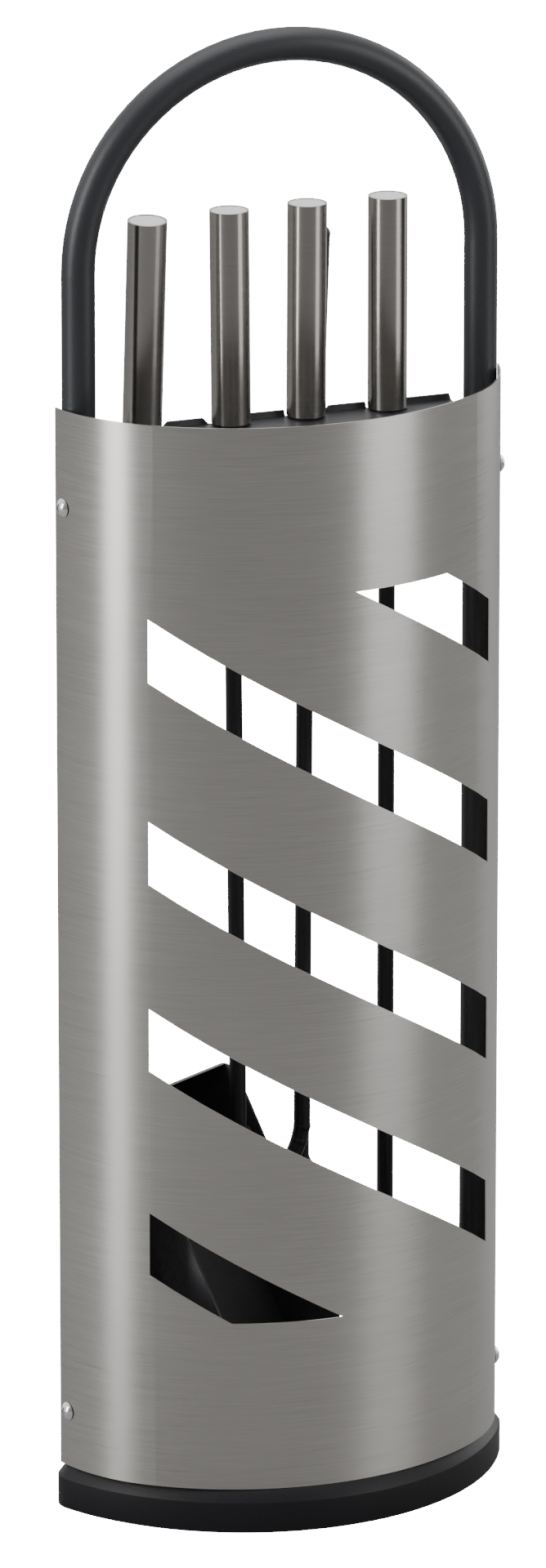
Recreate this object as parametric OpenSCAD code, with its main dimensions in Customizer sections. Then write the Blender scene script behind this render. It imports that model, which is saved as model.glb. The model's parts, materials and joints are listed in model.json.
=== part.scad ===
// Fireside companion set: hoop stand with a slotted curved shield, weighted base and four hanging tools.
// Millimetres, +Z up. Origin: on the floor, midway between the two legs of the hoop. The front faces -Y.

/* [Overall] */
// Half the distance between the hoop's leg centres
leg_x = 101.6; // [80:0.1:130]
// Height of the legs' straight part, where the hoop's arc starts
arc_z = 610.3; // [450:0.1:700]
// Outside radius of the hoop tube
tube_r = 8; // [6:0.5:12]
// Wall of the hoop tube
tube_wall = 1.5; // [1:0.1:2.5]

/* [Base] */
// Centre of the base's front arc, behind the legs
base_arc_y = 48; // [30:1:80]
// Margin of the base round each leg centre
base_margin = 12.5; // [10:0.5:18]
// Top of the base's upright side
base_side_z = 15.5; // [8:0.5:30]
// Top face of the base
base_top_z = 21.4; // [12:0.1:40]
// How far the sloping rim comes in
base_inset = 4.3; // [2:0.1:8]
// Wall of the moulded base
base_wall = 2.5; // [1.5:0.1:4]
// Height of the anti-slip pads
pad_h = 1.2; // [0.8:0.1:3]

/* [Shield] */
// Outside radius of the shield's middle arc
shield_r1 = 134.2; // [110:0.1:180]
// Half angle of the middle arc
shield_a1 = 37.5; // [25:0.1:50]
// Outside radius of the two side arcs
shield_r2 = 83.8; // [50:0.1:100]
// Angle where the side arcs end
shield_a2 = 77.2; // [65:0.5:85]
// Centre of the middle arc, behind the legs
shield_cy = 61.6; // [40:0.1:90]
// Sheet thickness
sheet = 0.8; // [0.6:0.1:1.5]
// Bottom edge
shield_z0 = 21.5; // [15:0.1:40]
// Top edge
shield_z1 = 546.5; // [400:0.5:620]

/* [Slots] */
// Left end of the slot field, along the sheet from its middle
slot_s0 = -90.5; // [-110:0.5:-60]
// Right end of the slot field, along the sheet from its middle
slot_s1 = 102.5; // [60:0.5:115]
// Drop of a slot for each millimetre along the sheet
slot_slope = 0.57; // [0.3:0.01:0.8]
// Upright height of a slot
slot_h = 31; // [15:0.5:45]
// Highest level a slot may reach
slot_top = 464; // [430:1:500]
// Lowest level a slot may reach
slot_low = 105.3; // [80:0.1:130]

/* [Screws] */
// Height of the upper screws
screw_z1 = 499; // [450:1:520]
// Height of the lower screws
screw_z0 = 49; // [40:1:80]
// How far the screws turn towards the front
screw_turn = 15; // [0:1:30]
// Screw head radius
head_r = 4.5; // [3:0.1:6]
// Screw head height
head_h = 2.4; // [1.5:0.1:4]

/* [Tool rest] */
// Top face of the rest plate
rest_z = 526.5; // [450:0.5:560]
// Thickness of the rest plate
rest_t = 2; // [1.5:0.1:3]
// Back edge of the rest plate
rest_back = 20; // [15:0.5:30]
// Half the length of the rest plate
rest_x = 94.5; // [85:0.5:100]
// Half the width of a tool slot in the rest
rest_slot = 6; // [5:0.1:8]
// Distance of the tool rods behind the legs
rod_y = 15; // [10:0.5:25]
// Height of the tabs along the back edge
tab_h = 3.1; // [2:0.1:8]

/* [Tools] */
// Tool rod radius
rod_r = 4; // [3:0.5:6]
// Handle radius
grip_r = 9.4; // [7:0.1:12]
// Length of a handle
grip_h = 103; // [80:1:140]
// Height of the bush under a handle
bush_h = 1; // [1:0.5:8]
// Radius of the bush under a handle
bush_r = 8.6; // [7:0.1:12]

/* [Shovel] */
// Width of the pan
pan_w = 82; // [60:1:110]
// Length of the pan
pan_l = 139; // [100:1:170]
// Height of the pan's walls
pan_h = 36; // [20:1:50]
// Sheet thickness of the pan
pan_t = 1.2; // [0.8:0.1:2]
// Forward lean of the pan
pan_lean = 29.7; // [0:0.1:45]
// Turn of the pan about the upright
pan_turn = 31.4; // [0:0.1:45]

/* [Tongs] */
// Drop of the pivot below the rest
pivot_drop = 50; // [40:1:80]
// Pivot pin radius
pin_r = 2; // [1.5:0.1:3]
// Distance of the lever behind the front arm
lever_y = 11; // [8.5:0.1:14]
// Lever rod radius
lever_r = 3.6; // [3:0.1:4]

/* [Brush] */
// Ferrule radius
ferrule_r = 13; // [9:0.5:18]
// Radius of the bristles at their ends
bristle_r = 22; // [14:0.5:26]
// Height of the bristle ends above the floor
bristle_z = 40; // [30:1:60]

/* [Hidden] */
$fn = 96;
base_r = sqrt(leg_x * leg_x + base_arc_y * base_arc_y) + base_margin;
side_x = (shield_r1 - shield_r2) * sin(shield_a1);
side_y = shield_cy - (shield_r1 - shield_r2) * cos(shield_a1);
mid_len = shield_r1 * shield_a1 * PI / 180;
black = [0.13, 0.13, 0.14];
steel = [0.72, 0.71, 0.69];
tool_xs = [-62, -20, 20, 60];
slot_tops = [552, 452.5, 353.5, 261, 159];
boss_r = 9.5;
seam = 0.02; // the side arcs start inside the middle arc's end by this step
weight_xy = [[-70, -20], [70, -20], [-28, -52], [28, -52]];

function side_a(s) = shield_a1 + (abs(s) - mid_len) / shield_r2 * 180 / PI;
function sheet_x(s) = abs(s) <= mid_len ? shield_r1 * sin(s / shield_r1 * 180 / PI) : sign(s) * (side_x + shield_r2 * sin(side_a(s)));

// Both sides of a mirrored pair
module both() {
    children();
    mirror([1, 0, 0]) children();
}

// Solid of the base outline between two levels, each with its own inset
module base_body(z0, z1, i0, i1) {
    far_x = 1.8 * leg_x;
    far_y = -0.8 * base_arc_y;
    intersection() {
        translate([0, base_arc_y, z0]) cylinder(h = z1 - z0, r1 = base_r - i0, r2 = base_r - i1, $fn = 180);
        translate([0, 0, z0]) linear_extrude(z1 - z0) polygon([[-leg_x, 0], [leg_x, 0], [far_x, far_y], [far_x, -200], [-far_x, -200], [-far_x, far_y]]);
    }
    both() translate([leg_x, 0, z0]) cylinder(h = z1 - z0, r1 = base_margin - i0, r2 = base_margin - i1);
    rotate([90, 0, 90]) translate([0, 0, -leg_x]) linear_extrude(2 * leg_x) polygon([[-6, z0], [base_margin - i0, z0], [base_margin - i1, z1], [-6, z1]]);
}

module base_shell() {
    inner_z = base_side_z - base_wall;
    roof_z = base_top_z - base_wall;
    color(black) difference() {
        union() {
            base_body(0.5, base_side_z, 0, 0);
            base_body(base_side_z, base_top_z, 0, base_inset);
        }
        difference() {
            union() {
                base_body(-1, inner_z, base_wall, base_wall);
                base_body(inner_z, roof_z, base_wall, base_wall + base_inset);
            }
            both() translate([leg_x, 0, 8]) cylinder(h = 20, r = boss_r);
            for (p = weight_xy) translate([p[0], p[1], 14]) cylinder(h = 8, r = 5);
        }
        both() translate([leg_x, 0, -2]) cylinder(h = 40, r = 4.3);
        for (p = weight_xy) translate([p[0], p[1], 13]) cylinder(h = 6.5, r = 1.7);
    }
}

module base_weight() {
    color([0.2, 0.2, 0.2]) difference() {
        intersection() {
            base_body(5, 13.8, 7.4, 7.4);
            translate([-89, -90, 4]) cube([178, 110, 12]);
        }
        for (p = weight_xy) translate([p[0], p[1], 3]) cylinder(h = 12, r = 2.6);
    }
}

module base_cover() {
    color(black) base_body(pad_h, pad_h + 1, base_wall + 0.3, base_wall + 0.3);
}

module base_pads() {
    color([0.08, 0.08, 0.08]) {
        translate([-75, -5, 0]) cube([150, 10, pad_h]);
        both() translate([58, -42, 0]) cylinder(h = pad_h, r = 9);
        translate([0, -62, 0]) cylinder(h = pad_h, r = 9);
    }
}

module weight_screws() {
    color(steel) for (p = weight_xy) translate([p[0], p[1], 0]) {
        translate([0, 0, 2.9]) cylinder(h = 2, r = 4);
        translate([0, 0, 2.9]) cylinder(h = 15.6, r = 1.65);
    }
}

module hoop_body(r) {
    both() translate([leg_x, 0, base_top_z]) cylinder(h = arc_z - base_top_z, r = r);
    translate([0, 0, arc_z]) rotate([90, 0, 0]) rotate_extrude(angle = 180, $fn = 180) translate([leg_x, 0]) circle(r);
}

// Frame of one screw: origin on the leg's axis, +Z out through the sheet
module at_screw(z) {
    both() translate([leg_x, 0, z]) rotate([0, 0, -screw_turn]) rotate([0, 90, 0]) children();
}

module hoop_frame() {
    color(black) difference() {
        hoop_body(tube_r);
        hoop_body(tube_r - tube_wall);
        at_screw(screw_z1) translate([0, 0, -12]) cylinder(h = 24, r = 2.2);
        at_screw(screw_z0) cylinder(h = 12, r = 3.1);
    }
}

module leg_inserts() {
    color(steel) both() translate([leg_x, 0, base_top_z + 0.1]) difference() {
        cylinder(h = 18, r = tube_r - tube_wall - 0.1);
        translate([0, 0, -1]) cylinder(h = 20, r = 4.05);
    }
}

module leg_bolts() {
    color(steel) both() translate([leg_x, 0, 0]) {
        difference() {
            translate([0, 0, 2.6]) cylinder(h = 3.7, r = 6.5);
            translate([0, 0, 2]) cylinder(h = 2.6, r = 3.2, $fn = 6);
        }
        translate([0, 0, 5]) cylinder(h = 32, r = 3.95);
    }
}

module leg_washers() {
    color(steel) both() translate([leg_x, 0, 6.4]) difference() {
        cylinder(h = 1.5, r = 8);
        translate([0, 0, -1]) cylinder(h = 4, r = 4.2);
    }
}

// Filled outline of the shield, grown inwards by an inset
module shield_plan(inset) {
    intersection() {
        translate([0, shield_cy]) circle(shield_r1 - inset, $fn = 180);
        translate([0, shield_cy]) polygon([[0, 0], [400 * sin(shield_a1), -400 * cos(shield_a1)], [0, -600], [-400 * sin(shield_a1), -400 * cos(shield_a1)]]);
    }
    both() translate([side_x, side_y]) circle(shield_r2 - inset, $fn = 180);
}

// One arc of the sheet in plan, of thickness t, from angle a0 to a1 about its centre
module sheet_arc(cx, cy, r, t, a0, a1) {
    intersection() {
        translate([cx, cy]) difference() {
            circle(r, $fn = 180);
            circle(r - t, $fn = 180);
        }
        translate([cx, cy]) polygon([[0, 0], [400 * sin(a0), -400 * cos(a0)], [400 * sin((a0 + a1) / 2), -400 * cos((a0 + a1) / 2)], [400 * sin(a1), -400 * cos(a1)]]);
    }
}

// One slot as a front-view prism: upright ends, slanting edges, flat where a level limits it
module slot_cut(top) {
    steps = 14;
    span = slot_s1 - slot_s0;
    up = [for (i = [0:steps]) let(s = slot_s0 + span * i / steps) [sheet_x(s), top - slot_slope * (s - slot_s0)]];
    down = [for (i = [steps:-1:0]) let(s = slot_s0 + span * i / steps) [sheet_x(s), top - slot_h - slot_slope * (s - slot_s0)]];
    translate([0, 15, 0]) rotate([90, 0, 0]) linear_extrude(120) intersection() {
        polygon(concat(up, down));
        translate([-200, slot_low]) square([400, slot_top - slot_low]);
    }
}

module shield() {
    color(steel) difference() {
        translate([0, 0, shield_z0]) {
            linear_extrude(shield_z1 - shield_z0) sheet_arc(0, shield_cy, shield_r1, sheet, -shield_a1, shield_a1);
            both() linear_extrude(shield_z1 - shield_z0) sheet_arc(side_x, side_y, shield_r2 - seam, sheet - 2 * seam, shield_a1 - 0.1, shield_a2);
        }
        for (t = slot_tops) slot_cut(t);
        at_screw(screw_z1) cylinder(h = 14, r = 2.2);
        at_screw(screw_z0) cylinder(h = 14, r = 2.2);
    }
}

// Cross-recessed dome-head screw, head seat at the sheet's outer face
module screw(shank) {
    dome = (head_r * head_r + head_h * head_h) / (2 * head_h);
    difference() {
        intersection() {
            translate([0, 0, 9.8 + head_h - dome]) sphere(dome);
            translate([0, 0, 9.8]) cylinder(h = head_h + 1, r = head_r + 1);
        }
        translate([-2.4, -0.5, 10.9]) cube([4.8, 1, 3]);
        translate([-0.5, -2.4, 10.9]) cube([1, 4.8, 3]);
    }
    translate([0, 0, 10 - shank]) cylinder(h = shank, r = 1.95);
}

module upper_screws() {
    color([0.8, 0.8, 0.8]) at_screw(screw_z1) screw(24.4);
}

module spacer_washers() {
    color(steel) at_screw(screw_z1) translate([0, 0, 8.08]) difference() {
        cylinder(h = 0.45, r = 3.9);
        translate([0, 0, -1]) cylinder(h = 3, r = 2.1);
    }
}

module upper_nuts() {
    color(steel) at_screw(screw_z1) translate([0, 0, -13.6]) difference() {
        cylinder(h = 3.2, r = 4.04, $fn = 6);
        translate([0, 0, -1]) cylinder(h = 6, r = 2);
    }
}

module lower_screws() {
    color([0.8, 0.8, 0.8]) at_screw(screw_z0) screw(10.3);
}

module rivet_nuts() {
    color(steel) at_screw(screw_z0) difference() {
        union() {
            translate([0, 0, 8.08]) cylinder(h = 0.45, r = 3.9);
            translate([0, 0, -1]) cylinder(h = 9.5, r = 2.95);
        }
        translate([0, 0, -0.5]) cylinder(h = 12, r = 2);
    }
}

// Tab on the rest's back edge, chamfered at the ends given by k0 and k1
module rest_tab(x0, x1, k0, k1) {
    translate([0, rest_back, rest_z - 0.5]) rotate([90, 0, 0]) linear_extrude(1.5) polygon([[x0, 0], [x1, 0], [x1, 0.5], [x1 - k1, tab_h + 0.5], [x0 + k0, tab_h + 0.5], [x0, 0.5]]);
}

module tool_rest() {
    gap = 9;
    color(black) difference() {
        union() {
            translate([0, 0, rest_z - rest_t]) linear_extrude(rest_t) intersection() {
                union() {
                    intersection() {
                        shield_plan(sheet + 0.6);
                        translate([-200, -200]) square([400, 200]);
                    }
                    translate([-rest_x, -1]) square([2 * rest_x, rest_back + 1]);
                }
                translate([-rest_x, -200]) square([2 * rest_x, 200 + rest_back]);
            }
            rest_tab(-rest_x, tool_xs[0] - gap - 1.6, 1, 3);
            rest_tab(tool_xs[0] + gap, tool_xs[1] - gap, 3, 3);
            rest_tab(tool_xs[1] + gap, tool_xs[2] - gap - 1.4, 3, 0.5);
            rest_tab(tool_xs[2] + gap, tool_xs[3] - gap, 3, 0.5);
            rest_tab(tool_xs[3] + gap, rest_x, 3, 1);
            at_screw(0) translate([-rest_z + 0.5, -7.5, -10.2]) cube([rest_z - screw_z1 + 8, 15, 1.5]);
        }
        both() translate([leg_x, 0, rest_z - 5]) cylinder(h = 20, r = tube_r + 0.5);
        for (x = tool_xs) {
            translate([x, rod_y, rest_z - 5]) cylinder(h = 10, r = rest_slot);
            translate([x - rest_slot, rod_y, rest_z - 5]) cube([2 * rest_slot, 20, 10]);
        }
        at_screw(screw_z1) translate([0, 0, -14]) cylinder(h = 10, r = 2.2);
    }
}

// Handle parts in a tool's own frame: origin where the rod crosses the rest's top face
module grip_tube(z) {
    color(steel) translate([0, 0, z]) difference() {
        cylinder(h = grip_h, r = grip_r);
        translate([0, 0, -1]) cylinder(h = grip_h + 2, r = grip_r - 1);
    }
}

module grip_cap(z) {
    color([0.85, 0.85, 0.84]) translate([0, 0, z + grip_h - 7]) cylinder(h = 6.8, r = grip_r - 1.05);
}

module grip_bush(z) {
    color(black) difference() {
        union() {
            translate([0, 0, z]) cylinder(h = bush_h - 0.05, r = bush_r);
            translate([0, 0, z + 0.5]) cylinder(h = bush_h + 14, r = grip_r - 1.05);
        }
        translate([0, 0, z - 1]) cylinder(h = 30, r = rod_r + 0.05);
    }
}

// Rod from inside the handle down to a depth
module tool_rod(depth) {
    translate([0, 0, -depth]) cylinder(h = depth + 90, r = rod_r);
}

// Rod between two points of the XZ plane, with a ball at its lower end
module rod_piece(x0, z0, x1, z1, y, r) {
    translate([x1, y, z1]) {
        sphere(r + 0.25, $fn = 32);
        rotate([0, atan2(x0 - x1, z0 - z1), 0]) cylinder(h = sqrt((x0 - x1) * (x0 - x1) + (z0 - z1) * (z0 - z1)), r = r, $fn = 32);
    }
}

// Frames of the four tools
module at_shovel() {
    translate([-63.5, 17, rest_z]) rotate([4.51, -0.05, 0]) children();
}

module at_pan() {
    translate([-62.1, 42.2, 185.7]) rotate([0, 0, pan_turn]) rotate([-pan_lean, 0, 0]) children();
}

module at_poker() {
    translate([-19.24, rod_y, rest_z]) rotate([0, -0.53, 0]) children();
}

module at_tongs() {
    translate([18.77, rod_y, rest_z]) rotate([0, 0.29, 0]) children();
}

module at_brush() {
    translate([60.2, rod_y, rest_z]) children();
}

module shovel_handle() {
    at_shovel() grip_tube(bush_h + 0.75);
}

module shovel_cap() {
    at_shovel() grip_cap(bush_h + 0.75);
}

module shovel_bush() {
    at_shovel() grip_bush(0.75);
}

module shovel_rod() {
    color(black) difference() {
        union() {
            at_shovel() tool_rod(339.9);
            at_pan() translate([-7, 0.1, -34]) cube([14, 2.5, 40]);
        }
        at_pan() for (z = [-12, -26]) translate([0, -2, z]) rotate([-90, 0, 0]) cylinder(h = 8, r = 2);
    }
}

module shovel_pan() {
    rim = pan_h - 3.5;
    corner = 9;
    hw = pan_w / 2;
    color(black) at_pan() difference() {
        translate([-hw, -pan_h, -pan_l]) cube([pan_w, pan_h, pan_l]);
        translate([pan_t - hw, -pan_h - 1, -pan_l - 1]) cube([pan_w - 2 * pan_t, pan_h + 1 - pan_t, pan_l + 1 - pan_t]);
        translate([-hw - 1, 0, 0]) rotate([90, 0, 90]) linear_extrude(pan_w + 2) polygon([[-pan_h - 1, -pan_l + 8], [-pan_h, -pan_l + 8], [-rim, -pan_l - 0.5], [-pan_h - 1, -pan_l - 0.5]]);
        translate([-hw - 1, 0, 0]) rotate([90, 0, 90]) linear_extrude(pan_w + 2) difference() {
            translate([-pan_h - 1, -corner]) square(corner + 1);
            translate([corner - pan_h, -corner]) circle(corner);
        }
        for (z = [-12, -26]) translate([0, -5, z]) rotate([-90, 0, 0]) cylinder(h = 8, r = 2);
    }
}

module shovel_rivets() {
    color(black) at_pan() for (z = [-12, -26]) translate([0, 0, z]) rotate([-90, 0, 0]) {
        translate([0, 0, -2.5]) cylinder(h = 6.5, r = 1.95);
        translate([0, 0, -2.5]) cylinder(h = 1.25, r = 3.6);
        translate([0, 0, 2.65]) cylinder(h = 1.35, r = 3.6);
    }
}

module poker_handle() {
    at_poker() grip_tube(bush_h + 0.15);
}

module poker_cap() {
    at_poker() grip_cap(bush_h + 0.15);
}

module poker_bush() {
    at_poker() grip_bush(0.15);
}

module poker_rod() {
    color(black) at_poker() {
        tool_rod(359);
        translate([0, 0, -370]) cylinder(h = 11, r1 = 0.8, r2 = rod_r);
    }
}

// Side hook: a curved prong brazed to the rod's front
module poker_hook() {
    color(black) at_poker() difference() {
        translate([0, -14, -360]) rotate([0, 90, 0]) rotate([0, 0, 90]) rotate_extrude(angle = 80) translate([11.5, 0]) circle(2.2);
        translate([0, 0, -380]) cylinder(h = 60, r = rod_r + 0.1);
    }
}

module tongs_handle() {
    at_tongs() grip_tube(bush_h + 0.15);
}

module tongs_cap() {
    at_tongs() grip_cap(bush_h + 0.15);
}

module tongs_bush() {
    at_tongs() grip_bush(0.15);
}

module tongs_front_arm() {
    color(black) at_tongs() difference() {
        union() {
            tool_rod(354);
            translate([0, 0, -354]) sphere(rod_r + 0.25, $fn = 32);
            rod_piece(0, -354, -1.4, -361, 0, rod_r);
            rod_piece(-1.4, -361, -4.3, -368, 0, rod_r);
            rod_piece(-4.3, -368, -4.7, -377, 0, rod_r);
            rod_piece(-4.7, -377, -1.5, -391, 0, rod_r);
        }
        translate([0, 0, -pivot_drop]) rotate([90, 0, 0]) cylinder(h = 20, r = pin_r, center = true);
    }
}

module tongs_pivot() {
    color([0.3, 0.3, 0.3]) at_tongs() translate([0, 0, -pivot_drop]) rotate([-90, 0, 0]) {
        translate([0, 0, -5.2]) cylinder(h = lever_y + 10.7, r = pin_r - 0.05);
        translate([0, 0, -5.2]) cylinder(h = 1.15, r = 3.2);
        translate([0, 0, 4.05]) cylinder(h = lever_y - 8.2, r = 3.5);
        translate([0, 0, lever_y + 4.1]) cylinder(h = 1.4, r = 3.8);
    }
}

module tongs_lever_arm() {
    color(black) at_tongs() difference() {
        union() {
            translate([12.2, lever_y, 85.5]) sphere(lever_r + 0.25, $fn = 32);
            rod_piece(12.2, 85.5, 10.2, 13.5, lever_y, lever_r);
            rod_piece(10.2, 13.5, 0.6, -44, lever_y, lever_r);
            rod_piece(0.6, -44, 4.3, -86, lever_y, lever_r);
            rod_piece(4.3, -86, 4.3, -374, lever_y, lever_r);
            rod_piece(4.3, -374, 9, -383, lever_y, lever_r);
            rod_piece(9, -383, 7, -393, lever_y, lever_r);
            translate([0, lever_y, -pivot_drop]) rotate([90, 0, 0]) cylinder(h = 7.8, r = 6, center = true);
        }
        translate([0, lever_y, -pivot_drop]) rotate([90, 0, 0]) cylinder(h = 20, r = pin_r, center = true);
    }
}

module brush_handle() {
    at_brush() grip_tube(bush_h + 0.05);
}

module brush_cap() {
    at_brush() grip_cap(bush_h + 0.05);
}

module brush_bush() {
    at_brush() grip_bush(0.05);
}

module brush_rod() {
    color(black) at_brush() tool_rod(rest_z - 108);
}

module brush_ferrule() {
    top = 126 - rest_z;
    color(black) at_brush() difference() {
        union() {
            translate([0, 0, top - 6]) cylinder(h = 6, r1 = ferrule_r, r2 = ferrule_r - 5);
            translate([0, 0, top - 30]) cylinder(h = 24, r = ferrule_r);
        }
        translate([0, 0, top - 31]) cylinder(h = 15, r = ferrule_r - 1.2);
        translate([0, 0, top - 20]) cylinder(h = 30, r = rod_r + 0.05);
    }
}

module brush_bristles() {
    color([0.15, 0.13, 0.11]) at_brush() {
        translate([0, 0, 94 - rest_z]) cylinder(h = 12, r = ferrule_r - 1.4);
        translate([0, 0, bristle_z - rest_z]) cylinder(h = 55.6, r1 = bristle_r, r2 = ferrule_r - 1.4);
    }
}

base_shell();
base_weight();
base_cover();
base_pads();
weight_screws();
hoop_frame();
leg_inserts();
leg_bolts();
leg_washers();
shield();
upper_screws();
spacer_washers();
upper_nuts();
lower_screws();
rivet_nuts();
tool_rest();
shovel_handle();
shovel_cap();
shovel_bush();
shovel_rod();
shovel_pan();
shovel_rivets();
poker_handle();
poker_cap();
poker_bush();
poker_rod();
poker_hook();
tongs_handle();
tongs_cap();
tongs_bush();
tongs_front_arm();
tongs_pivot();
tongs_lever_arm();
brush_handle();
brush_cap();
brush_bush();
brush_rod();
brush_ferrule();
brush_bristles();
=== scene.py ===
import json
import math
import random

import bpy
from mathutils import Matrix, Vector


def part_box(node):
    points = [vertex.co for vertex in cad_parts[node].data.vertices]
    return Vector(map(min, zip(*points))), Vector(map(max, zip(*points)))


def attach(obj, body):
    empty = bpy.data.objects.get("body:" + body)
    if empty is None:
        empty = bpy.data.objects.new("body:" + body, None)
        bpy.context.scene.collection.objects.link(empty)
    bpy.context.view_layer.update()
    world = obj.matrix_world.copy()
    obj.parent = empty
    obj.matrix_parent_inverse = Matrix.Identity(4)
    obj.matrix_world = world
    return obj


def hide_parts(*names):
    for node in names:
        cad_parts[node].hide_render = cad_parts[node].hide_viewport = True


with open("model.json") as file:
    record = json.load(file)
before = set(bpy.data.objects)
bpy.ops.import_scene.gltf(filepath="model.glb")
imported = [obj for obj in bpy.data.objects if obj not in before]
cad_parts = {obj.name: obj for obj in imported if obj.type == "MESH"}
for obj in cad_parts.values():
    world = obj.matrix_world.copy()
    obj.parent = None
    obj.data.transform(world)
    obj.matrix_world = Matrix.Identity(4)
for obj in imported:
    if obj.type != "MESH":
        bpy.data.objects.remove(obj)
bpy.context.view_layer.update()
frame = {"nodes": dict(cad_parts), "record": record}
nodes = frame["nodes"]
random.seed(7)
mm = 0.001


# camera
cameraSet = {
    "lens": 259.5, "sensor": 36, "turn": -21.424, "tip": 16.78, "distance": 5.38534,
    "aim": (0.0, 0.0, 0.350), "right": -0.00363, "up": 0.000808, "farClip": 200,
}


def addCamera(s):
    turn, tip = math.radians(s["turn"]), math.radians(s["tip"])
    back = Vector((math.sin(turn) * math.cos(tip), -math.cos(turn) * math.cos(tip), math.sin(tip)))
    right = Vector((math.cos(turn), math.sin(turn), 0))
    up = Vector((-math.sin(turn) * math.sin(tip), math.cos(turn) * math.sin(tip), math.cos(tip)))
    place = Vector(s["aim"]) + back * s["distance"] + right * s["right"] + up * s["up"]
    bpy.ops.object.camera_add(location=place, rotation=(math.pi / 2 - tip, 0, turn))
    cam = bpy.context.object
    cam.name = "camera"
    cam.data.lens = s["lens"]
    cam.data.sensor_width = s["sensor"]
    cam.data.clip_end = s["farClip"]
    bpy.context.scene.camera = cam


addCamera(cameraSet)
print("camera placed")


# shader helpers
def newMaterial(name):
    mat = bpy.data.materials.new(name)
    mat.use_nodes = True
    tree = mat.node_tree
    return mat, tree, tree.nodes["Principled BSDF"]


def link(tree, a, b):
    tree.links.new(a, b)


grainNoise = {"lineDetail": 3.0, "cloudScale": 9.0, "cloudDetail": 2.0, "depth": 0.05}
grainInputs = ("Stretch X", "Stretch Y", "Stretch Z", "Contrast", "Cloud")


def makeGrainGroup():
    # fine lines across one direction, with soft cloudy patches
    g = bpy.data.node_groups.new("brushedGrain", "ShaderNodeTree")
    for name, value in zip(grainInputs, (1.0, 1.0, 1.0, 0.1, 0.05)):
        sock = g.interface.new_socket(name, in_out="INPUT", socket_type="NodeSocketFloat")
        sock.default_value = value
    for name in ("Tone", "Height", "Rough"):
        g.interface.new_socket(name, in_out="OUTPUT", socket_type="NodeSocketFloat")
    n = g.nodes
    gin, gout = n.new("NodeGroupInput"), n.new("NodeGroupOutput")
    coord = n.new("ShaderNodeTexCoord")
    comb = n.new("ShaderNodeCombineXYZ")
    mul = n.new("ShaderNodeVectorMath")
    mul.operation = "MULTIPLY"
    lines = n.new("ShaderNodeTexNoise")
    lines.inputs["Scale"].default_value = 1.0
    lines.inputs["Detail"].default_value = grainNoise["lineDetail"]
    cloud = n.new("ShaderNodeTexNoise")
    cloud.inputs["Scale"].default_value = grainNoise["cloudScale"]
    cloud.inputs["Detail"].default_value = grainNoise["cloudDetail"]
    for k in "XYZ":
        link(g, gin.outputs["Stretch " + k], comb.inputs[k])
    link(g, coord.outputs["Object"], mul.inputs[0])
    link(g, comb.outputs[0], mul.inputs[1])
    link(g, mul.outputs[0], lines.inputs["Vector"])
    link(g, coord.outputs["Object"], cloud.inputs["Vector"])

    def around(source, amount):
        sub = n.new("ShaderNodeMath")
        sub.operation = "SUBTRACT"
        sub.inputs[1].default_value = 0.5
        by = n.new("ShaderNodeMath")
        by.operation = "MULTIPLY"
        link(g, source, sub.inputs[0])
        link(g, sub.outputs[0], by.inputs[0])
        link(g, amount, by.inputs[1])
        return by.outputs[0]

    a = around(lines.outputs["Fac"], gin.outputs["Contrast"])
    b = around(cloud.outputs["Fac"], gin.outputs["Cloud"])
    add = n.new("ShaderNodeMath")
    add.operation = "ADD"
    one = n.new("ShaderNodeMath")
    one.operation = "ADD"
    one.inputs[1].default_value = 1.0
    link(g, a, add.inputs[0])
    link(g, b, add.inputs[1])
    link(g, add.outputs[0], one.inputs[0])
    link(g, one.outputs[0], gout.inputs["Tone"])
    link(g, lines.outputs["Fac"], gout.inputs["Height"])
    link(g, add.outputs[0], gout.inputs["Rough"])
    return g


grainGroup = makeGrainGroup()


def brushedSteel(name, s):
    mat, tree, bsdf = newMaterial(name)
    grain = tree.nodes.new("ShaderNodeGroup")
    grain.node_tree = grainGroup
    for key in grainInputs:
        grain.inputs[key].default_value = s[key]
    tint = tree.nodes.new("ShaderNodeVectorMath")
    tint.operation = "SCALE"
    tint.inputs[0].default_value = s["color"]
    link(tree, grain.outputs["Tone"], tint.inputs["Scale"])
    link(tree, tint.outputs[0], bsdf.inputs["Base Color"])
    rough = tree.nodes.new("ShaderNodeMath")
    rough.operation = "MULTIPLY_ADD"
    rough.inputs[1].default_value = s["roughVary"]
    rough.inputs[2].default_value = s["rough"]
    link(tree, grain.outputs["Rough"], rough.inputs[0])
    link(tree, rough.outputs[0], bsdf.inputs["Roughness"])
    bump = tree.nodes.new("ShaderNodeBump")
    bump.inputs["Strength"].default_value = s["bump"]
    bump.inputs["Distance"].default_value = grainNoise["depth"] * mm
    link(tree, grain.outputs["Height"], bump.inputs["Height"])
    link(tree, bump.outputs[0], bsdf.inputs["Normal"])
    bsdf.inputs["Metallic"].default_value = 1.0
    bsdf.inputs["Anisotropic"].default_value = s["aniso"]
    bsdf.inputs["Anisotropic Rotation"].default_value = s["anisoTurn"]
    if s["aniso"] > 0:
        tangent = tree.nodes.new("ShaderNodeTangent")
        tangent.direction_type = "RADIAL"
        tangent.axis = "Z"
        link(tree, tangent.outputs[0], bsdf.inputs["Tangent"])
    return mat


skinNoise = {"speckDetail": 4.0, "softDetail": 2.0, "roughSpread": 0.06, "depth": 0.2}


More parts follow.
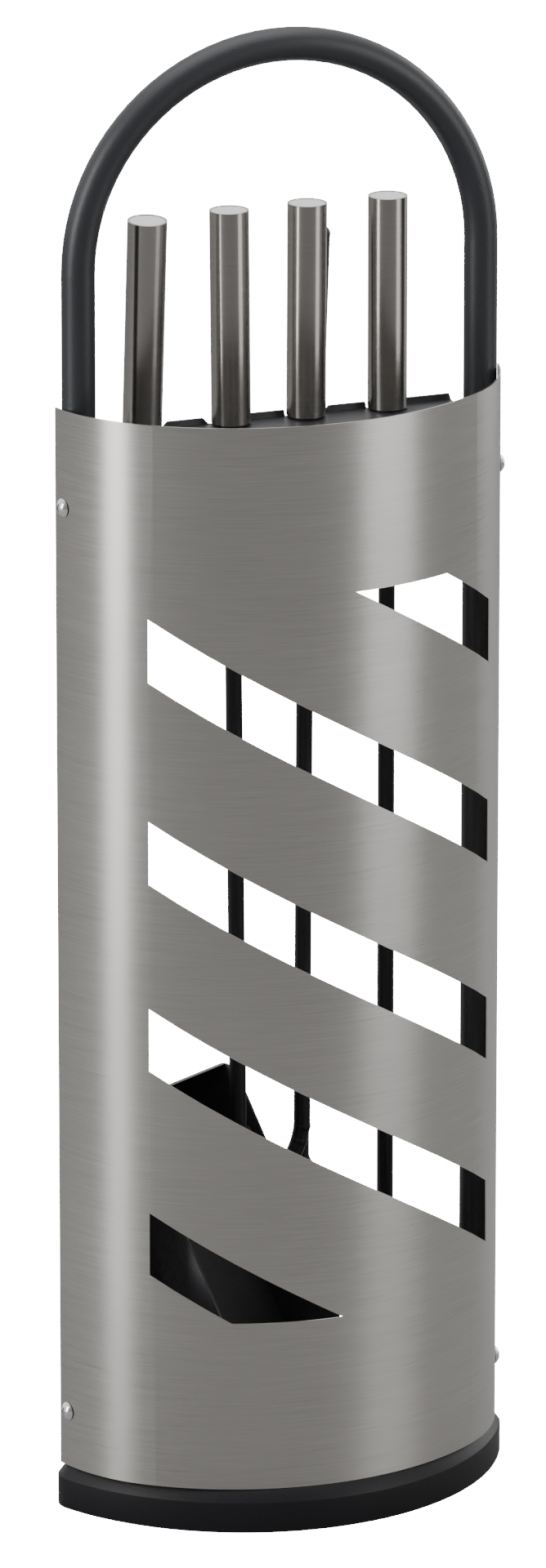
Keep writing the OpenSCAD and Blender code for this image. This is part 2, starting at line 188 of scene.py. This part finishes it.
def makeSkinGroup():
    # fine speckle for the skin of a coat, with a slow drift of tone
    g = bpy.data.node_groups.new("coatSkin", "ShaderNodeTree")
    for name, value in (("Scale", 1000.0), ("Soft Scale", 30.0), ("Rough", 0.45)):
        sock = g.interface.new_socket(name, in_out="INPUT", socket_type="NodeSocketFloat")
        sock.default_value = value
    for name in ("Tone", "Height", "Rough"):
        g.interface.new_socket(name, in_out="OUTPUT", socket_type="NodeSocketFloat")
    n = g.nodes
    gin, gout = n.new("NodeGroupInput"), n.new("NodeGroupOutput")
    coord = n.new("ShaderNodeTexCoord")
    speck = n.new("ShaderNodeTexNoise")
    speck.inputs["Detail"].default_value = skinNoise["speckDetail"]
    soft = n.new("ShaderNodeTexNoise")
    soft.inputs["Detail"].default_value = skinNoise["softDetail"]
    rough = n.new("ShaderNodeMath")
    rough.operation = "MULTIPLY_ADD"
    rough.inputs[1].default_value = 2 * skinNoise["roughSpread"]
    lower = n.new("ShaderNodeMath")
    lower.operation = "SUBTRACT"
    lower.inputs[1].default_value = skinNoise["roughSpread"]
    for noise, key in ((speck, "Scale"), (soft, "Soft Scale")):
        link(g, coord.outputs["Object"], noise.inputs["Vector"])
        link(g, gin.outputs[key], noise.inputs["Scale"])
    link(g, speck.outputs["Fac"], rough.inputs[0])
    link(g, gin.outputs["Rough"], lower.inputs[0])
    link(g, lower.outputs[0], rough.inputs[2])
    link(g, soft.outputs["Fac"], gout.inputs["Tone"])
    link(g, speck.outputs["Fac"], gout.inputs["Height"])
    link(g, rough.outputs[0], gout.inputs["Rough"])
    return g


skinGroup = makeSkinGroup()


def darkCoat(name, s):
    # powder coat, moulded plastic or rubber
    mat, tree, bsdf = newMaterial(name)
    skin = tree.nodes.new("ShaderNodeGroup")
    skin.node_tree = skinGroup
    skin.inputs["Scale"].default_value = s["scale"]
    skin.inputs["Soft Scale"].default_value = s["softScale"]
    skin.inputs["Rough"].default_value = s["rough"]
    tone = tree.nodes.new("ShaderNodeMix")
    tone.data_type = "RGBA"
    tone.inputs["A"].default_value = (*s["color"], 1)
    tone.inputs["B"].default_value = (*[min(1, c * s["light"]) for c in s["color"]], 1)
    bump = tree.nodes.new("ShaderNodeBump")
    bump.inputs["Strength"].default_value = s["bump"]
    bump.inputs["Distance"].default_value = skinNoise["depth"] * mm
    link(tree, skin.outputs["Tone"], tone.inputs["Factor"])
    link(tree, skin.outputs["Height"], bump.inputs["Height"])
    link(tree, tone.outputs["Result"], bsdf.inputs["Base Color"])
    link(tree, skin.outputs["Rough"], bsdf.inputs["Roughness"])
    link(tree, bump.outputs[0], bsdf.inputs["Normal"])
    bsdf.inputs["Metallic"].default_value = s.get("metal", 0.0)
    bsdf.inputs["Specular IOR Level"].default_value = s.get("specular", 0.5)
    return mat


finishes = {
    "shield_steel": brushedSteel("shieldSteel", {
        "color": (0.50, 0.48, 0.455), "Stretch X": 32, "Stretch Y": 32, "Stretch Z": 2400,
        "Contrast": 0.36, "Cloud": 0.16, "rough": 0.30, "roughVary": 0.3, "bump": 0.3,
        "aniso": 0.75, "anisoTurn": 0.25,
    }),
    "handle_steel": brushedSteel("handleSteel", {
        "color": (0.40, 0.38, 0.355), "Stretch X": 60, "Stretch Y": 60, "Stretch Z": 2400,
        "Contrast": 0.25, "Cloud": 0.08, "rough": 0.24, "roughVary": 0.2, "bump": 0.15,
        "aniso": 0.8, "anisoTurn": 0.25,
    }),
    "cap_steel": brushedSteel("capSteel", {
        "color": (0.86, 0.86, 0.85), "Stretch X": 300, "Stretch Y": 300, "Stretch Z": 300,
        "Contrast": 0.06, "Cloud": 0.05, "rough": 0.38, "roughVary": 0.2, "bump": 0.1,
        "aniso": 0.0, "anisoTurn": 0.0,
    }),
    "zinc": brushedSteel("zincPlate", {
        "color": (0.55, 0.56, 0.55), "Stretch X": 500, "Stretch Y": 500, "Stretch Z": 500,
        "Contrast": 0.2, "Cloud": 0.2, "rough": 0.36, "roughVary": 0.4, "bump": 0.2,
        "aniso": 0.0, "anisoTurn": 0.0,
    }),
    "screw_chrome": brushedSteel("screwChrome", {
        "color": (0.82, 0.82, 0.83), "Stretch X": 400, "Stretch Y": 400, "Stretch Z": 400,
        "Contrast": 0.05, "Cloud": 0.05, "rough": 0.14, "roughVary": 0.2, "bump": 0.05,
        "aniso": 0.0, "anisoTurn": 0.0,
    }),
    "pin_steel": brushedSteel("pinSteel", {
        "color": (0.22, 0.22, 0.22), "Stretch X": 500, "Stretch Y": 500, "Stretch Z": 500,
        "Contrast": 0.2, "Cloud": 0.1, "rough": 0.35, "roughVary": 0.3, "bump": 0.2,
        "aniso": 0.0, "anisoTurn": 0.0,
    }),
    "frame_black": darkCoat("frameCoat", {
        "color": (0.016, 0.0175, 0.021), "light": 1.35, "scale": 1400, "softScale": 30,
        "rough": 0.42, "bump": 0.35,
    }),
    "rest_black": darkCoat("restCoat", {
        "color": (0.028, 0.029, 0.032), "light": 1.3, "scale": 1400, "softScale": 40,
        "rough": 0.45, "bump": 0.35,
    }),
    "rod_black": darkCoat("rodCoat", {
        "color": (0.010, 0.010, 0.012), "light": 1.4, "scale": 1600, "softScale": 50,
        "rough": 0.42, "bump": 0.3,
    }),
    "pan_black": darkCoat("panCoat", {
        "color": (0.022, 0.022, 0.026), "light": 1.5, "scale": 1500, "softScale": 35,
        "rough": 0.42, "bump": 0.35,
    }),
    "base_plastic": darkCoat("basePlastic", {
        "color": (0.008, 0.008, 0.0095), "light": 1.3, "scale": 900, "softScale": 25,
        "rough": 0.42, "bump": 0.3, "specular": 0.22,
    }),
    "bush_black": darkCoat("bushPlastic", {
        "color": (0.012, 0.012, 0.013), "light": 1.3, "scale": 900, "softScale": 60,
        "rough": 0.5, "bump": 0.2,
    }),
    "pad_rubber": darkCoat("padRubber", {
        "color": (0.02, 0.02, 0.02), "light": 1.3, "scale": 1200, "softScale": 60, "rough": 0.75,
        "bump": 0.5,
    }),
    "weight_iron": darkCoat("weightIron", {
        "color": (0.06, 0.058, 0.055), "light": 1.5, "scale": 500, "softScale": 40, "rough": 0.6,
        "bump": 0.6, "metal": 0.8,
    }),
    "bristle": darkCoat("bristleFibre", {
        "color": (0.018, 0.016, 0.014), "light": 2.2, "scale": 900, "softScale": 200,
        "rough": 0.5, "bump": 0.1,
    }),
}
slotOf = {s["node"]: s["material_slot"] for s in frame["record"]["subparts"]}
for name, obj in nodes.items():
    mat = finishes[slotOf[name]]
    if not obj.data.materials:
        obj.data.materials.append(mat)
    for i in range(len(obj.data.materials)):
        obj.data.materials[i] = mat
print("finishes set")


def clearSelection():
    bpy.ops.object.select_all(action="DESELECT")


def makePiece(obj, name, slotName, body, *replaced):
    # place goes into the mesh, then the piece takes its body, slot and finish
    clearSelection()
    obj.select_set(True)
    bpy.context.view_layer.objects.active = obj
    bpy.ops.object.transform_apply(location=True, rotation=True, scale=True)
    obj.name = name
    obj.data.name = name
    obj.data.materials.clear()
    obj.data.materials.append(finishes[slotName])
    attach(obj, body)
    if replaced:
        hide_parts(*replaced)
    return obj


def applyModifiers(obj):
    clearSelection()
    obj.select_set(True)
    bpy.context.view_layer.objects.active = obj
    for mod in list(obj.modifiers):
        bpy.ops.object.modifier_apply(modifier=mod.name)


# welds and flat joins for the softened copies: distance in mm, angles in degrees
weldSet = {"within": 0.004, "quadAngle": 1, "flatAngle": 0.3, "smoothAngle": 30}


def mergedCopy(node, name):
    # a welded copy of a CAD node, ready for edit-mode work
    src = nodes[node]
    obj = bpy.data.objects.new(name, src.data.copy())
    bpy.context.scene.collection.objects.link(obj)
    clearSelection()
    obj.select_set(True)
    bpy.context.view_layer.objects.active = obj
    bpy.ops.object.mode_set(mode="EDIT")
    bpy.ops.mesh.select_all(action="SELECT")
    bpy.ops.mesh.remove_doubles(threshold=weldSet["within"] * mm)
    bpy.ops.mesh.tris_convert_to_quads(face_threshold=math.radians(weldSet["quadAngle"]), shape_threshold=math.pi)
    bpy.ops.mesh.dissolve_limited(angle_limit=math.radians(weldSet["flatAngle"]))
    bpy.ops.object.mode_set(mode="OBJECT")
    return obj


# softened edges on the parts that show, widths in mm
softEdges = {
    "base_shell": {"width": 1.1, "segments": 3, "angle": 25, "body": "stand"},
    "tool_rest": {"width": 0.3, "segments": 2, "angle": 40, "body": "stand"},
    "shovel_pan": {"width": 0.35, "segments": 2, "angle": 40, "body": "shovel"},
}


def softenNode(node, s):
    obj = mergedCopy(node, node + "_soft")
    bevel = obj.modifiers.new("soft", "BEVEL")
    bevel.width = s["width"] * mm
    bevel.segments = s["segments"]
    bevel.limit_method = "ANGLE"
    bevel.angle_limit = math.radians(s["angle"])
    applyModifiers(obj)
    bpy.ops.object.shade_smooth_by_angle(angle=math.radians(weldSet["smoothAngle"]))
    return makePiece(obj, node + "_soft", slotOf[node], s["body"], node)


for node, s in softEdges.items():
    softenNode(node, s)
print("edges softened")


# bristles: thin tapered fibres that leave the ferrule and spread
bristleSet = {
    "count": 420, "rootRadius": 11.2, "tipRadius": 21.0, "fibre": 0.42, "sides": 5, "rings": 4,
    "taper": 0.45, "sway": 0.5, "uneven": 2.5, "shortest": 0.93, "curl": 1.3, "jitter": 0.1,
}


def modelFibre(s):
    # one straight fibre, root at the origin, one unit long
    clearSelection()
    bpy.ops.mesh.primitive_cylinder_add(
        vertices=s["sides"], radius=s["fibre"] * mm, depth=1, location=(0, 0, -0.5))
    fibre = bpy.context.object
    bpy.ops.object.mode_set(mode="EDIT")
    for k in range(1, s["rings"]):
        bpy.ops.mesh.select_all(action="SELECT")
        bpy.ops.mesh.bisect(plane_co=(0, 0, -k / s["rings"]), plane_no=(0, 0, 1))
    bpy.ops.object.mode_set(mode="OBJECT")
    bpy.ops.object.transform_apply(location=True)
    return fibre


def bendFibre(mesh, s, angle, share, root, length):
    # moves a copy to its own place and leans it outwards
    along = Vector((math.cos(angle), math.sin(angle), 0))
    across = Vector((-math.sin(angle), math.cos(angle), 0))
    rootOut = s["rootRadius"] * mm * share
    tipOut = s["tipRadius"] * mm * share * random.uniform(s["shortest"], 1.0)
    sway = random.uniform(-s["sway"], s["sway"]) * mm
    for v in mesh.vertices:
        t = max(0, -v.co.z)
        thin = 1 - s["taper"] * t
        out = rootOut + (tipOut - rootOut) * t ** s["curl"]
        skin = Vector((v.co.x * thin, v.co.y * thin, -length * t))
        v.co = root + along * out + across * sway * t * t + skin


def buildBristles(s):
    low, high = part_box("brush_bristles")
    root = Vector(((low.x + high.x) / 2, (low.y + high.y) / 2, high.z))
    golden = math.pi * (3 - math.sqrt(5))
    fibre = modelFibre(s)
    strands = []
    for i in range(s["count"]):
        strand = fibre.copy()
        strand.data = fibre.data.copy()
        bpy.context.scene.collection.objects.link(strand)
        length = high.z - low.z - random.uniform(0, s["uneven"]) * mm
        angle = i * golden + random.uniform(-s["jitter"], s["jitter"])
        share = math.sqrt((i + 0.5) / s["count"])
        bendFibre(strand.data, s, angle, share, root, length)
        strands.append(strand)
    bpy.data.objects.remove(fibre)
    clearSelection()
    for strand in strands:
        strand.select_set(True)
    bpy.context.view_layer.objects.active = strands[0]
    bpy.ops.object.join()
    makePiece(strands[0], "brush_fibres", "bristle", "brush", "brush_bristles")
    bpy.ops.object.shade_smooth_by_angle(angle=math.radians(50))


buildBristles(bristleSet)
print("bristles made")


# studio
studio = {
    "front": 0.24, "back": 1.25, "fadeFrom": -0.85, "fadeTo": 0.55,
    "floorSize": 60, "floorShown": 0.85, "floorGlow": 18.0, "floorMirrored": 0.26, "floorRough": 0.9,
}


def addStudio(s):
    bpy.ops.mesh.primitive_plane_add(size=s["floorSize"], location=(0, 0, 0))
    floor = bpy.context.object
    floor.name = "floor"
    mat, tree, bsdf = newMaterial("paleFloor")
    bsdf.inputs["Base Color"].default_value = (*[s["floorShown"]] * 3, 1)
    bsdf.inputs["Roughness"].default_value = s["floorRough"]
    bsdf.inputs["Specular IOR Level"].default_value = 0.0
    bsdf.inputs["Emission Color"].default_value = (1, 1, 1, 1)
    bsdf.inputs["Emission Strength"].default_value = s["floorGlow"]
    low = tree.nodes.new("ShaderNodeBsdfDiffuse")
    low.inputs["Color"].default_value = (*[s["floorMirrored"]] * 3, 1)
    # the eye sees a white floor, and the steel mirrors a dimmer one
    path = tree.nodes.new("ShaderNodeLightPath")
    mix = tree.nodes.new("ShaderNodeMixShader")
    link(tree, path.outputs["Is Camera Ray"], mix.inputs[0])
    link(tree, low.outputs[0], mix.inputs[1])
    link(tree, bsdf.outputs[0], mix.inputs[2])
    link(tree, mix.outputs[0], tree.nodes["Material Output"].inputs["Surface"])
    floor.data.materials.append(mat)
    world = bpy.data.worlds.new("studioWorld")
    world.use_nodes = True
    wt = world.node_tree
    coord = wt.nodes.new("ShaderNodeTexCoord")
    split = wt.nodes.new("ShaderNodeSeparateXYZ")
    fade = wt.nodes.new("ShaderNodeMapRange")
    fade.interpolation_type = "SMOOTHSTEP"
    fade.inputs["From Min"].default_value = s["fadeFrom"]
    fade.inputs["From Max"].default_value = s["fadeTo"]
    fade.inputs["To Min"].default_value = s["front"]
    fade.inputs["To Max"].default_value = s["back"]
    link(wt, coord.outputs["Generated"], split.inputs[0])
    link(wt, split.outputs["Y"], fade.inputs["Value"])
    link(wt, fade.outputs["Result"], wt.nodes["Background"].inputs["Strength"])
    wt.nodes["Background"].inputs[0].default_value = (1, 1, 1, 1)
    bpy.context.scene.world = world


# large soft lights round the set, aimed at its middle
softLights = {
    "overhead": {
        "azimuth": 0, "distance": 0.01, "height": 3.2, "size": 3.0, "sizeY": 3.0, "power": 60, "aimZ": 0,
    },
    "leftStrip": {
        "azimuth": -79, "distance": 2.8, "height": 1.0, "size": 0.75, "sizeY": 2.6, "power": 62, "aimZ": 0.3,
    },
    "rightStrip": {
        "azimuth": 44, "distance": 3.0, "height": 1.0, "size": 1.3, "sizeY": 2.6, "power": 40, "aimZ": 0.3,
    },
    "rightBack": {
        "azimuth": 112, "distance": 3.2, "height": 1.0, "size": 1.6, "sizeY": 2.6, "power": 22, "aimZ": 0.3,
    },
}


def addSoftLight(name, s):
    data = bpy.data.lights.new(name, "AREA")
    data.shape = "RECTANGLE"
    data.size, data.size_y = s["size"], s["sizeY"]
    data.energy = s["power"]
    obj = bpy.data.objects.new(name, data)
    bpy.context.scene.collection.objects.link(obj)
    turn = math.radians(s["azimuth"])
    obj.location = (math.sin(turn) * s["distance"], -math.cos(turn) * s["distance"], s["height"])
    toAim = Vector((0, 0, s["aimZ"])) - obj.location
    obj.rotation_euler = toAim.to_track_quat("-Z", "Y").to_euler()


addStudio(studio)
for name, s in softLights.items():
    addSoftLight(name, s)
print("studio set")
